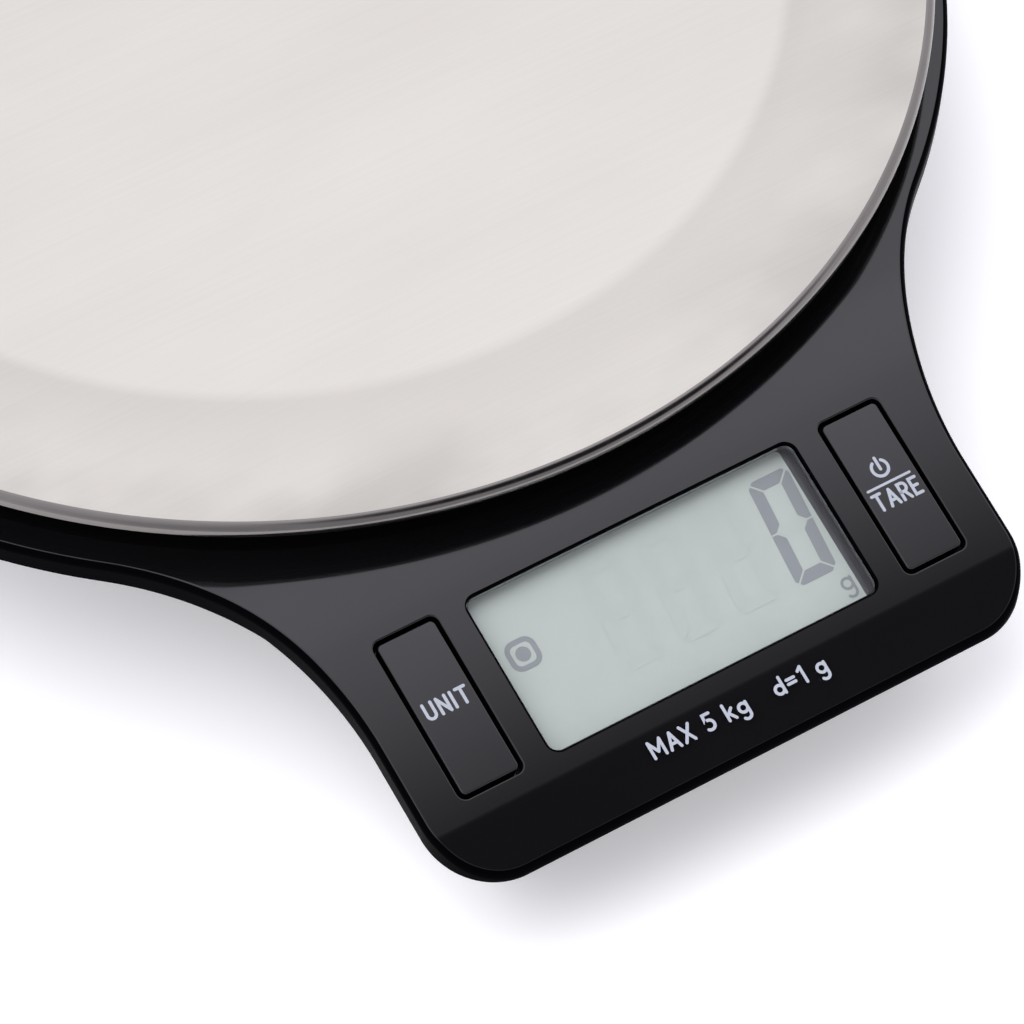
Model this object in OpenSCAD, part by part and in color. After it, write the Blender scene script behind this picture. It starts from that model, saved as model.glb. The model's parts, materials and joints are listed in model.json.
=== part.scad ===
// Electronic kitchen scale: a round steel weighing platter on a bowl-shaped body
// whose front runs out into a sloping panel with a display and two keys.
// Millimetres. The scale stands on its feet at Z = 0 and faces -Y. The origin is
// below the middle of its length and width.

/* [Body] */
// Diameter of the round part of the body
body_d = 165; // [160:1:172]
// From the platter's centre to the front edge of the panel
front_reach = 113.5; // [112:0.5:118]
// Height of the flat top above the table
body_h = 26; // [26:0.5:30]
// Thickness of the moulded shells
wall = 2; // [1.8:0.1:2.2]
// Depth of the upper housing's outer rim
rim_h = 3.1; // [2.8:0.1:3.6]
// How far the lower housing sits back under that rim
step_in = 0.8; // [0.6:0.1:1.2]
// Gap between the underside and the table
stand_h = 2; // [1.5:0.1:2.5]
// Diameter of the body's flat underside
base_d = 134; // [130:1:140]

/* [Control panel] */
// Width of the panel
panel_w = 75.8; // [75:0.2:80]
// Slope of the panel, down to the front
panel_tilt = 13.7; // [12:0.1:14.5]
// From the platter's centre to where the slope starts
slope_reach = 78.3; // [77:0.1:80]
// Half length of the soft bend between the flat top and the slope
bend_soft = 6; // [2:0.5:6.5]
// From the platter's centre to where the necks end in the panel's straight sides
neck_reach = 96; // [94:0.5:98]
// Radius of the panel's front corners
corner_r = 8.4; // [7:0.2:9]
// Depth of the front lip, seen from above
lip_run = 5.7; // [5:0.1:6]
// Slope of the front lip
lip_tilt = 30; // [26:1:32]

/* [Platter] */
// Diameter of the steel platter
platter_d = 161; // [157:0.5:162]
// Height of the platter's edge above the body
platter_rise = 6.1; // [5.8:0.1:6.6]
// Thickness of the platter's sheet steel
platter_t = 0.7; // [0.5:0.1:0.8]
// Depth of the platter's turned-down rim
platter_rim = 1.6; // [1.4:0.1:1.8]
// Diameter of the platter's raised middle
crown_d = 127; // [120:1:135]
// Height of the raised middle above the platter's edge
crown_h = 0.3; // [0.2:0.1:0.5]
// Gap between the tray under the platter and the body
tray_gap = 1.3; // [1.2:0.1:1.6]

/* [Display] */
// Width of the display window
window_w = 42.3; // [40:0.1:42.6]
// Height of the display window, along the slope
window_l = 19.8; // [18:0.1:20]
// Radius of the window's corners
window_r = 1.4; // [1:0.1:2]
// Gap round the window's raised middle
lens_gap = 0.15; // [0.1:0.05:0.2]
// Down the slope from its start to the middle of the window and keys
row_reach = 17.2; // [17:0.1:17.5]

/* [Keys] */
// From the middle of the panel to the middle of a key
key_x = 28.6; // [28.4:0.1:28.8]
// Width of a key's opening in the housing
key_hole_w = 8.1; // [7.8:0.1:8.2]
// Length of a key's opening
key_hole_l = 20; // [19:0.1:20.2]
// Gap around a key
key_gap = 0.5; // [0.4:0.05:0.6]
// Travel of a key
key_travel = 0.5; // [0.4:0.1:0.6]

/* [Load cell] */
// Length of the load cell's beam
cell_l = 76; // [74:1:80]
// Width of the beam
cell_w = 12; // [11:0.5:12.5]
// Height of the beam
cell_h = 11; // [10.5:0.5:11]
// From the beam's middle to the middle of each pair of screws
cell_pair_x = 30; // [29:0.5:31]
// Distance between the screws of a pair
cell_pitch = 8; // [7:0.5:9]
// How far the beam's free end gives before it meets its stop
cell_give = 0.6; // [0.4:0.1:0.7]
// Radius on which the platter's tray is screwed to the spider
tray_boss_reach = 32; // [30:0.5:34]

/* [Battery] */
// Diameter of a cell
battery_d = 10.5; // [10.2:0.1:10.5]
// Length of a cell over its terminal
battery_l = 44.5; // [44:0.1:44.5]
// From the platter's centre to the middle of the compartment
battery_reach = 43.5; // [42:0.5:45]
// Gap round the compartment's door
door_gap = 0.3; // [0.2:0.05:0.4]

/* [Feet and screws] */
// Diameter of a foot
foot_d = 11; // [10:0.5:12]
// Diameter of the housing screws' thread
screw_d = 2.8; // [2.6:0.1:3]
// Diameter of the load cell screws' thread
cell_screw_d = 3.9; // [3.6:0.1:4]

/* [Hidden] */
$fn = 72;

// Colours
black_gloss = "#202124";
black_matte = "#2b2c2e";
steel_brushed = "#cfcbc6";
steel_zinc = "#a9abad";
aluminium = "#c5c8cb";
silicone_white = "#eceae4";
rubber_grey = "#4a4b4d";
board_green = "#1f6b3a";

// Heights of the body's surfaces on the platter's axis
body_r = body_d / 2;
half_panel = panel_w / 2;
disc_y = (front_reach - body_r) / 2;
floor_z = stand_h + wall;
skin_z = body_h - wall;
parting_z = body_h - rim_h;
slope = tan(panel_tilt);

// Outlines: [round part's radius, panel's half width, front reach, neck reach, corner radius]
rim_outline = [body_r, half_panel, front_reach, neck_reach, corner_r];
base_outline = [base_d / 2, half_panel - 7.5, front_reach - 8.7, neck_reach - 16, corner_r - 2.4];
arc_steps = [28, 12, 8];

// Stack of the platter, from the top down
edge_z = body_h + platter_rise;
plate_under_z = edge_z - platter_t;
tray_z = body_h + tray_gap;
tray_top_t = 2;
bend_r = 1.1;

// Load path, from the floor up
cell_z = floor_z + 2;
cell_top_z = cell_z + cell_h;
spider_z = cell_top_z + 2;
spider_t = 2.2;
spider_top_z = spider_z + spider_t;
tray_boss_d = 8;
tray_boss_hole_d = 12;
base_pad_z = cell_z - 1;

// Depths below the panel's surface
lens_seat = 1;
tape_t = 0.15;
lens_t = 1;
lens_sink = 0.2;
lcd_depth = 2.5;
lcd_t = 2.2;
film_t = 0.2;
board_depth = 8;
board_t = 1.2;
flange_depth = 2.3;
flange_t = 0.9;
stem_depth = 4;
plunger_depth = 4.1;
switch_depth = 4.8;
lcd_w = window_w + 2.3;
lcd_l = window_l + 4.2;
board_w = 63.2;
board_back = -1.4;
board_front = 30;
board_screw_x = 22;
board_screw_reach = 1.8;

// Battery compartment
box_half_l = 25.6;
box_half_w = battery_d + 0.9;
box_wall = 1.4;
box_roof_z = floor_z + battery_d + 1.6;
door_half_l = box_half_l - 0.2;
door_half_w = box_half_w + 0.5;
door_t = wall - 0.3;
tab_x = 16;
battery_z = floor_z + 0.4 + battery_d / 2;
plate_t = 0.4;
cell_back = box_half_l - plate_t - battery_l;

// Screws: [x, y] from the platter's centre
housing_screw_places = [[0, 58], [55, 18], [-55, 18], [24, -65.5], [-24, -65.5]];
column_top_z = 14;
column_d = 8;
head_d = 5.6;
head_h = 1.8;
cell_head_d = 7;
cell_head_h = 1.3;
cell_thread = 8;
foot_places = [[42, 35], [-42, 35], [21, -92], [-21, -92]];
foot_pocket = 0.8;
tray_boss_places = [for (a = [45:90:315]) tray_boss_reach * [cos(a), sin(a)]];

// Wire routes from the platter's centre to the board: the middle of the four gauge wires, and
// the two battery wires
gauge_route = [[-13.1, 0, 17.5], [-30, 0, 17.5], [-40, -1.5, 17.5], [-44, -8, 16], [-45, -25, 14],
               [-42, -45, 14], [-35, -62, 15], [-28.5, -73, 14.5], [-17, -73.5, 13.6],
               [-12.5, -75.5, 14], [-11.5, -77.2, 15.3], [-11.4, -77.9, 16.4]];
battery_routes = [
    [[-25, -49.2, 18.4], [-21, -50, 18.6], [-17, -56, 18.2], [-13, -66, 16.5], [-8, -73, 14.5],
     [-5.6, -76.6, 15.2], [-5.2, -77.9, 16.4]],
    [[-25, -37.8, 18.4], [-20, -39, 18.6], [-16, -46, 18.6], [-15, -56, 18.2], [-11, -66, 16.5],
     [-6, -73, 14.5], [-3.6, -76.6, 15.2], [-3.2, -77.9, 16.4]]];

// ---------- Helpers ----------

// Moves from the platter's axis to its place in the scale
module from_centre() translate([0, disc_y, 0]) children();

// On the sloping panel: +Y runs up the slope from its start, +Z points out of the panel
module on_panel() translate([0, disc_y - slope_reach, body_h]) rotate([panel_tilt, 0, 0]) children();

// In the middle of the row that the display and the keys share
module on_row(x = 0) on_panel() translate([x, -row_reach, 0]) children();

function arc(cx, cy, r, a0, a1, n) =
    [for (i = [0:n]) let (a = a0 + (a1 - a0) * i / n) [cx + r * cos(a), cy + r * sin(a)]];

// Radius of the neck that touches both the round part and the panel's straight side
function neck_radius(o) = (o[1] * o[1] + o[3] * o[3] - o[0] * o[0]) / (2 * (o[0] - o[1]));

// Right half of a body outline, from the back to the front corner
function half_outline(o) =
    let (neck = neck_radius(o), neck_x = o[1] + neck, meet = atan2(-o[3], neck_x))
    concat(arc(0, 0, o[0], 90, meet, arc_steps[0]),
           arc(neck_x, -o[3], neck, meet + 180, 180, arc_steps[1]),
           arc(o[1] - o[4], o[4] - o[2], o[4], 0, -90, arc_steps[2]));

// Whole outline, moved inwards by inset
function outline(o, inset = 0) =
    let (half = half_outline([o[0] - inset, o[1] - inset, o[2] - inset, o[3], o[4] - inset]))
    concat(half, [for (i = [len(half) - 1:-1:1]) [-half[i][0], half[i][1]]]);

// Height of the surface between the two housings, which follows the panel's slope
function parting(y) = parting_z - max(0, -y - slope_reach) * slope;

// Everything below the body's top surface, lowered by drop
module under_top(drop = 0) {
    lip_y = front_reach - lip_run;
    lip_z = body_h - (lip_y - slope_reach) * slope;
    bend = [for (t = [-bend_soft:bend_soft / 4:bend_soft])
        [-slope_reach - t, body_h - drop - slope * (t + bend_soft) * (t + bend_soft) / (4 * bend_soft)]];
    rotate([90, 0, 90]) linear_extrude(2 * body_d, center = true) polygon([
        [body_d, -body_h], [body_d, body_h - drop], each bend,
        [-lip_y, lip_z - drop], [-front_reach - lip_run, lip_z - 2 * lip_run * tan(lip_tilt) - drop],
        [-front_reach - lip_run, -body_h]]);
}

// Everything below the parting surface, raised by lift
module under_parting(lift = 0) {
    far = front_reach + body_r;
    rotate([90, 0, 90]) linear_extrude(2 * body_d, center = true) polygon([
        [body_d, -body_h], [body_d, parting_z + lift], [-slope_reach, parting_z + lift],
        [-far, parting(-far) + lift], [-far, -body_h]]);
}

// Solid bowl from the base up to the flat top, through the outline at the parting surface
module bowl(inset, z0) {
    low = outline(base_outline, inset);
    high = outline(rim_outline, step_in + inset);
    n = len(low);
    points = concat(
        [for (i = [0:n - 1]) [low[i][0], low[i][1], z0]],
        [for (i = [0:n - 1])
            let (k = (body_h - z0) / (parting(high[i][1]) - z0), p = low[i] + (high[i] - low[i]) * k)
            [p[0], p[1], body_h]]);
    sides = [for (i = [0:n - 1]) let (j = (i + 1) % n) each [[i, n + j, n + i], [i, j, n + j]]];
    polyhedron(points, concat([[for (i = [n - 1:-1:0]) i]], [[for (i = [0:n - 1]) n + i]], sides));
}

// Plate with round corners, centred, from z0 up
module plate(w, l, r, h, z0 = 0) translate([0, 0, z0]) linear_extrude(h) {
    square([w - 2 * r, l], center = true);
    square([w, l - 2 * r], center = true);
    for (x = [-1, 1], y = [-1, 1]) translate([x * (w / 2 - r), y * (l / 2 - r)]) circle(r);
}

// Pin along Z from z0 to z1
module pin(d, z0, z1) translate([0, 0, z0]) cylinder(d = d, h = z1 - z0);

// Pan-head screw, point up: thread from z0 to z1, head below z0
module screw_up(d, head, height, z0, z1) {
    pin(d, z0, z1);
    difference() {
        pin(head, z0 - height, z0);
        cross_slot(z0 - height, 0.9, head * 0.55);
    }
}

// Cross recess cut upwards into a screw's head
module cross_slot(z, depth, size) translate([0, 0, z]) for (a = [0, 90])
    rotate(a) cube([size, 0.8, 2 * depth], center = true);

function unit(v) = v / norm(v);

// Direction of a route at its point i
function heading(points, i) = unit(points[min(i + 1, len(points) - 1)] - points[max(i - 1, 0)]);

// The same route moved sideways by shift, level with the table
function beside(points, shift) =
    [for (i = [0:len(points) - 1]) points[i] + shift * unit(cross(heading(points, i), [0, 0, 1]))];

// Round tube through points, in cross-sections of sides points; up is never along it
module tube(points, d, up, sides = 8) {
    n = len(points);
    rings = [for (i = [0:n - 1])
        let (along = heading(points, i), a = unit(cross(up, along)), b = cross(a, along))
        each [for (k = [0:sides - 1]) let (t = 360 * k / sides)
            points[i] + d / 2 * (cos(t) * a + sin(t) * b)]];
    skin = [for (i = [0:n - 2], k = [0:sides - 1])
        let (p = i * sides + k, q = i * sides + (k + 1) % sides)
        each [[p, p + sides, q + sides], [p, q + sides, q]]];
    polyhedron(rings, concat([[for (k = [0:sides - 1]) k]],
                             [[for (k = [sides - 1:-1:0]) (n - 1) * sides + k]], skin));
}

// ---------- Platter and load path ----------

module platter_plate() color(steel_brushed) from_centre() rotate_extrude() {
    edge_r = platter_d / 2;
    crown_r = crown_d / 2;
    // Sheet with its raised middle, as far as the bend
    polygon([
        [0, plate_under_z + crown_h], [crown_r - 1, plate_under_z + crown_h],
        [crown_r + 4, plate_under_z + crown_h / 3], [crown_r + 9, plate_under_z],
        [edge_r - bend_r, plate_under_z], [edge_r - bend_r, edge_z],
        [crown_r + 9, edge_z], [crown_r + 4, edge_z + crown_h / 3],
        [crown_r - 1, edge_z + crown_h], [0, edge_z + crown_h]]);
    // Bend and turned-down rim
    translate([edge_r - bend_r, edge_z - bend_r]) intersection() {
        difference() {
            circle(bend_r);
            circle(bend_r - platter_t);
        }
        square(bend_r);
    }
    translate([edge_r - platter_t, edge_z - platter_rim]) square([platter_t, platter_rim - bend_r]);
}

module platter_tray() color(black_matte) from_centre() difference() {
    lip_r = platter_d / 2 - platter_t - 0.1;
    skirt_r = platter_d / 2 - 2.2;
    tray_top_z = plate_under_z - 0.05;
    union() {
        pin(2 * skirt_r, tray_z, tray_top_z);
        pin(2 * (lip_r - 0.5), edge_z - platter_rim, tray_top_z);
        for (p = tray_boss_places) translate(p) pin(tray_boss_d, spider_top_z, tray_top_z);
    }
    // Hollow underside between the rim, the ribs and the bosses
    difference() {
        pin(2 * (skirt_r - 1.6), tray_z - 1, tray_top_z - tray_top_t);
        for (p = tray_boss_places) translate(p) pin(tray_boss_d, tray_z - 2, tray_top_z);
        for (a = [0:30:150]) rotate(a) translate([0, 0, edge_z - 4])
            cube([platter_d - 8, 1.4, 4], center = true);
        for (r = [20, 44, 62]) difference() {
            pin(2 * r + 1.4, tray_z + 0.4, tray_top_z);
            pin(2 * r - 1.4, tray_z, tray_top_z + 1);
        }
    }
    for (p = tray_boss_places) translate(p) pin(screw_d + 0.1, spider_top_z - 1, spider_top_z + 8.4);
}

module tray_screws() color(steel_zinc) from_centre()
    for (p = tray_boss_places) translate(p) screw_up(screw_d, head_d, 1.6, spider_z, spider_top_z + 7.6);

module load_spider() color(steel_zinc) from_centre() difference() {
    union() {
        for (p = tray_boss_places) translate(p) pin(12, spider_z, spider_top_z);
        for (a = [45, 135]) rotate(a) translate([0, 0, spider_z + spider_t / 2])
            cube([2 * tray_boss_reach, 9, spider_t], center = true);
        translate([-12, -8, spider_z]) cube([12 + cell_l / 2 + 2, 16, spider_t]);
    }
    for (p = tray_boss_places) translate(p) pin(screw_d + 0.5, spider_z - 1, spider_top_z + 1);
    for (x = [-1, 1]) translate([cell_pair_x + x * cell_pitch / 2, 0, 0])
        pin(cell_screw_d + 0.4, spider_z - 1, spider_top_z + 1);
}

// Shim with a pair of screw holes, between the beam and what it is screwed to
module cell_shim(x, z0, z1) from_centre() translate([x, 0, 0]) difference() {
    translate([0, 0, (z0 + z1) / 2]) cube([16, cell_w, z1 - z0], center = true);
    for (s = [-1, 1]) translate([s * cell_pitch / 2, 0, 0]) pin(cell_screw_d + 0.4, z0 - 1, z1 + 1);
}

module spider_spacer() color(steel_zinc) cell_shim(cell_pair_x, cell_top_z, spider_z);

module base_spacer() color(steel_zinc) cell_shim(-cell_pair_x, base_pad_z, cell_z);

module spider_screws() color(steel_zinc) from_centre() for (s = [-1, 1])
    translate([cell_pair_x + s * cell_pitch / 2, 0, 0]) mirror([0, 0, 1])
        screw_up(cell_screw_d, cell_head_d, cell_head_h, -spider_top_z, cell_thread - cell_top_z);

module base_screws() color(steel_zinc) from_centre() for (s = [-1, 1])
    translate([s * cell_pitch / 2 - cell_pair_x, 0, 0])
        screw_up(cell_screw_d, cell_head_d, cell_head_h, stand_h + 1.5, cell_z + cell_thread);

module load_cell() color(aluminium) from_centre() difference() {
    translate([-cell_l / 2, -cell_w / 2, cell_z]) cube([cell_l, cell_w, cell_h]);
    // Two joined holes leave the thin webs that bend
    translate([0, cell_w, cell_z + cell_h / 2]) rotate([90, 0, 0]) {
        for (x = [-6, 6]) translate([x, 0, 0]) cylinder(d = cell_h - 2.6, h = 2 * cell_w);
        translate([-6, -1.5, 0]) cube([12, 3, 2 * cell_w]);
    }
    for (x = [-1, 1], s = [-1, 1]) translate([x * cell_pair_x + s * cell_pitch / 2, 0, 0])
        pin(cell_screw_d + 0.1, cell_z - 1, cell_top_z + 1);
}

module gauge_seals() color(silicone_white) from_centre() {
    plate(26, cell_w - 1.6, 1.5, 0.7, cell_top_z);
    plate(26, cell_w - 1.6, 1.5, 0.7, cell_z - 0.7);
}

module gauge_wires() color("firebrick") from_centre() for (k = [-1.5:1:1.5])
    tube(beside(gauge_route, 1.4 * k), 0.9, [0, 0, 1]);

module overload_stop() color(steel_zinc) from_centre() translate([cell_pair_x, 0, 0]) difference() {
    pin(cell_screw_d, stand_h + 0.5, cell_z - cell_give);
    translate([0, 0, stand_h]) cylinder(d = 2, h = 2.4, $fn = 6);
}

// ---------- Housings ----------

module upper_housing() color(black_gloss) difference() {
    union() {
        from_centre() difference() {
            intersection() {
                linear_extrude(body_h + 1) polygon(outline(rim_outline));
                under_top();
            }
            intersection() {
                translate([0, 0, -1]) linear_extrude(body_h) polygon(outline(rim_outline, wall));
                under_top(wall);
            }
            under_parting();
        }
        from_centre()
        for (p = housing_screw_places) translate(p) pin(column_d - 1, column_top_z, skin_z + 0.5);
        // Posts for the board screws, and hooks over the board's front edge
        on_panel() for (x = [-1, 0, 1]) translate([x * board_screw_x, -board_screw_reach, 0])
            pin(4.6, -board_depth, -wall + 0.5);
        on_panel() for (x = [-13, 13]) translate([x, 0, 0]) board_hook();
        // Guides beside the keys' flanges
        on_row() for (x = [-1, 1]) translate([x * (key_x + 5.5), 0, -(wall + stem_depth - 0.5) / 2])
            cube([0.7, 12, stem_depth - wall + 0.5], center = true);
    }
    from_centre()
        for (p = housing_screw_places) translate(p) pin(screw_d + 0.1, column_top_z - 1, skin_z - 1);
    from_centre() for (p = tray_boss_places) translate(p) pin(tray_boss_hole_d, skin_z - 1, body_h + 1);
    on_panel() for (x = [-1, 0, 1]) translate([x * board_screw_x, -board_screw_reach, 0])
        pin(1.9, -board_depth - 1, -wall);
    on_row() plate(window_w, window_l, window_r, 4, -3);
    on_row() plate(window_w + 3.2, window_l + 3.2, 1.5, 2, -lens_seat - 2);
    for (x = [-key_x, key_x]) on_row(x) plate(key_hole_w, key_hole_l, 1, 4, -3);
}

// Hook that holds the board's front edge
module board_hook() {
    depth = board_depth + board_t + 0.75;
    translate([-2, -board_front - 1.5, -depth]) cube([4, 1.3, depth - wall + 0.3]);
    translate([-2, -board_front - 1.5, -depth]) cube([4, 2.4, 0.7]);
}

module lower_housing() color(black_matte) difference() {
    union() {
        from_centre() difference() {
            intersection() {
                bowl(0, stand_h);
                under_parting();
            }
            bowl(wall, floor_z);
        }
        from_centre() tongue();
        from_centre() intersection() {
            bowl(0, stand_h);
            union() {
                for (p = housing_screw_places) translate(p) pin(column_d, stand_h, column_top_z);
                translate([-cell_pair_x, 0, stand_h]) base_pad();
                translate([cell_pair_x, 0, 0]) pin(9, stand_h, cell_z - 1.2);
                translate([0, -battery_reach, 0]) battery_box();
            }
        }
    }
    from_centre() for (p = housing_screw_places) translate(p) {
        pin(head_d + 0.6, stand_h - 1, column_top_z - 4);
        pin(screw_d + 0.5, stand_h, column_top_z + 1);
    }
    from_centre() for (s = [-1, 1]) translate([s * cell_pitch / 2 - cell_pair_x, 0, 0]) {
        pin(cell_head_d + 0.6, stand_h - 1, stand_h + 1.5);
        pin(cell_screw_d + 0.4, stand_h, cell_z);
    }
    from_centre() translate([cell_pair_x, 0, 0]) pin(cell_screw_d + 0.1, stand_h - 1, cell_z);
    from_centre()
        for (p = foot_places) translate(p) pin(foot_d + 0.2, stand_h - 1, stand_h + foot_pocket);
    from_centre() translate([0, -battery_reach, 0]) battery_door_way();
}

// Lip that stands inside the upper housing's rim and lines the two shells up
module tongue() intersection() {
    difference() {
        linear_extrude(body_h) polygon(outline(rim_outline, wall + 0.2));
        translate([0, 0, -1]) linear_extrude(body_h + 2) polygon(outline(rim_outline, wall + 1.2));
    }
    difference() {
        under_parting(1.1);
        under_parting(-1);
    }
    under_top(wall + 0.2);
}

// Raised pad under the beam's fixed end
module base_pad() translate([-10, -cell_w / 2 - 2, 0]) cube([20, cell_w + 4, base_pad_z - stand_h]);

// Walls and roof round the two cells, with slots for the contacts
module battery_box() difference() {
    translate([-box_half_l - box_wall, -box_half_w - box_wall, stand_h])
        cube([2 * (box_half_l + box_wall), 2 * (box_half_w + box_wall), box_roof_z - stand_h + box_wall]);
    translate([-box_half_l, -box_half_w, stand_h - 1])
        cube([2 * box_half_l, 2 * box_half_w, box_roof_z - stand_h + 1]);
    // Solder tags of the two wired contacts
    for (s = [-1, 1]) translate([-box_half_l - 0.1, s * box_half_w / 2 - 2, box_roof_z - 1])
        cube([1, 4, 4]);
}

// Opening in the floor for the door, with room for its tabs, its latch and a finger
module battery_door_way() {
    translate([0, 0, stand_h + 1]) cube([2 * door_half_l + 2 * door_gap, 2 * door_half_w + 2 * door_gap, 2 * wall],
        center = true);
    for (x = [-tab_x, tab_x])
        translate([x, -door_half_w - 0.5, floor_z + 2.5]) cube([8, 6, 5.2], center = true);
    translate([0, door_half_w - 0.4, floor_z + 1.5]) cube([12, 3.2, 4], center = true);
    translate([0, door_half_w + 0.5, 0]) pin(12, stand_h - 1, stand_h + 1);
}

module housing_screws() color(steel_zinc) from_centre() for (p = housing_screw_places)
    translate(p) screw_up(screw_d, head_d, head_h, column_top_z - 4, column_top_z + 7);

module rubber_feet() color(rubber_grey) from_centre() for (p = foot_places) translate(p) {
    pin(foot_d, 0.6, stand_h + foot_pocket);
    cylinder(d1 = foot_d - 1.6, d2 = foot_d, h = 0.6);
}

// ---------- Display ----------

// Window with a raised middle that fills the opening almost up to the panel's surface
module window_lens() color("#d9e2e4", 0.4) on_row() {
    flange_z = -lens_seat - tape_t;
    plate(window_w + 2.8, window_l + 2.8, 1.3, lens_t, flange_z - lens_t);
    plate(window_w - 2 * lens_gap, window_l - 2 * lens_gap, window_r - lens_gap, -flange_z - lens_sink + 0.1,
        flange_z - 0.1);
}

module lens_tape() color(black_matte) on_row() difference() {
    plate(window_w + 2.8, window_l + 2.8, 1.3, tape_t, -lens_seat - tape_t);
    plate(window_w + 0.4, window_l + 0.4, window_r, 1, -lens_seat - 0.5);
}

module lcd_glass() color("#aeb8b4", 0.6) on_row() {
    // Upper glass, and the longer lower glass with the contact ledges
    plate(lcd_w, lcd_l - 3.2, 0.3, lcd_t / 2, -lcd_depth - lcd_t / 2);
    plate(lcd_w, lcd_l, 0.3, lcd_t / 2, -lcd_depth - lcd_t);
}

module lcd_polariser() color("#b9c2bd") on_row()
    plate(lcd_w - 0.6, lcd_l - 3.6, 0.3, film_t, -lcd_depth);

module lcd_reflector() color("#d5d8d3") on_row()
    plate(lcd_w - 1.4, lcd_l - 6.4, 0.3, film_t, -lcd_depth - lcd_t - film_t);

module lcd_frame() color(black_matte) on_row() difference() {
    plate(lcd_w + 2, lcd_l + 1.8, 0.8, board_depth - lcd_depth - 0.2, -board_depth);
    plate(lcd_w + 0.3, lcd_l + 0.3, 0.4, lcd_t + 2, -lcd_depth - lcd_t);
    plate(lcd_w - 1, lcd_l - 6, 0.4, 2 * board_depth, -board_depth - 1);
    for (s = [-1, 1])
        translate([0, s * (lcd_l / 2 - 1.1), 0]) plate(lcd_w - 0.4, 2, 0.2, 2 * board_depth, -board_depth - 1);
}

module zebra_strips() color("#d8a7b4") on_row() for (s = [-1, 1])
    translate([0, s * (lcd_l / 2 - 1.1), 0])
        plate(lcd_w - 0.8, 1.8, 0.1, board_depth - lcd_depth - lcd_t, -board_depth);

// ---------- Board and keys ----------

module main_board() color(board_green) on_panel() difference() {
    translate([0, -(board_back + board_front) / 2, 0])
        plate(board_w, board_front - board_back, 3, board_t, -board_depth - board_t);
    for (x = [-1, 0, 1]) translate([x * board_screw_x, -board_screw_reach, 0])
        pin(2.4, -board_depth - board_t - 1, -board_depth + 1);
}

// Black resin over the chip, on the board's underside
module chip_cover() color("#161616") on_row() translate([4, 1, -board_depth - board_t]) mirror([0, 0, 1])
    intersection() {
        translate([0, 0, -12]) sphere(14);
        pin(16, 0, 3);
    }

// Capacitors, resistors and a crystal on the board's underside
module board_parts() color("#c9a36a") on_row() translate([0, 0, -board_depth - board_t]) {
    for (i = [0:4]) translate([-24 + 4.5 * i, 8, -0.45]) cube([2, 1.25, 0.9], center = true);
    for (i = [0:3]) translate([16 + 3.5 * i, -8, -0.45]) cube([1.25, 2, 0.9], center = true);
    translate([-17, -3, -3]) cylinder(d = 4, h = 3);
    translate([20, 3, -1.25]) cube([3.2, 8, 2.5], center = true);
}

module board_screws() color(steel_zinc) on_panel() for (x = [-1, 0, 1])
    translate([x * board_screw_x, -board_screw_reach, 0])
        screw_up(1.8, 3.8, 1.2, -board_depth - board_t, -board_depth + 4.5);

// Key cap with its retaining flange and the stem that pushes the switch
module key(x) color(black_gloss) on_row(x) {
    plate(key_hole_w - 2 * key_gap, key_hole_l - 2 * key_gap, 0.6, flange_depth + 0.1, -flange_depth - 0.1);
    plate(key_hole_w + 1.3, key_hole_l + 1, 0.6, flange_t, -flange_depth - flange_t);
    pin(3.2, -stem_depth, -flange_depth - flange_t);
}

module unit_key() key(-key_x);

module tare_key() key(key_x);

module switch_bodies() color("#3a3b3f") for (x = [-key_x, key_x]) on_row(x) difference() {
    plate(6, 6, 0.4, board_depth - switch_depth, -board_depth);
    pin(3.6, -board_depth + 0.6, -switch_depth + 1);
}

module plunger(x) color("#d9d9d4") on_row(x) pin(3.4, -board_depth + 0.8 + key_travel, -plunger_depth);

module unit_plunger() plunger(-key_x);

module tare_plunger() plunger(key_x);

// ---------- Battery ----------

module battery_door() color(black_matte) from_centre() translate([0, -battery_reach, 0]) {
    outer_z = stand_h + 0.2;
    // Round front edge, on whose axis the door swings
    translate([0, door_t / 2 - door_half_w, outer_z + door_t / 2]) rotate([0, 90, 0])
        cylinder(d = door_t, h = 2 * door_half_l, center = true);
    difference() {
        translate([-door_half_l, door_t / 2 - door_half_w, outer_z])
            cube([2 * door_half_l, 2 * door_half_w - door_t / 2, door_t]);
        // Grip grooves near the latch
        for (i = [0:3])
            translate([0, door_half_w - 3.5 - 2 * i, outer_z]) cube([16 - 2 * i, 0.9, 0.8], center = true);
    }
    for (x = [-tab_x, tab_x]) translate([x - 3, -door_half_w, 0]) {
        translate([0, 0.1, floor_z - 0.5]) cube([6, 1.6, 1.9]);
        translate([0, -2.3, floor_z + 0.3]) cube([6, 4, 1.1]);
    }
    translate([-4.5, door_half_w - 1.8, floor_z - 0.5]) cube([9, 0.9, 3.2]);
    translate([-4.5, door_half_w - 1.8, floor_z + 1.6]) cube([9, 1.5, 1.1]);
}

// Places a cell's axis along X: side is -1 or 1, and its terminal points to the same side
module at_cell(side) from_centre() translate([0, -battery_reach + side * (battery_d / 2 + 0.15), battery_z])
    rotate([0, 90 * side, 0]) children();

module battery_cells() color("#3d6fa3") for (side = [-1, 1]) at_cell(side) {
    pin(battery_d, cell_back, cell_back + battery_l - 0.9);
    pin(3.8, cell_back + battery_l - 0.9, cell_back + battery_l);
}

module battery_springs() color(steel_zinc) for (side = [-1, 1]) at_cell(side) {
    turns = 4;
    steps = 48;
    z0 = -box_half_l + plate_t + 0.3;
    rise = cell_back - 0.3 - z0;
    tube([for (i = [0:steps]) let (t = i / steps, a = 360 * turns * t, r = 3.8 - 1.4 * t)
            [r * cos(a), r * sin(a), z0 + rise * t]], 0.5, [0, 0, 1], 6);
}

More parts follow.
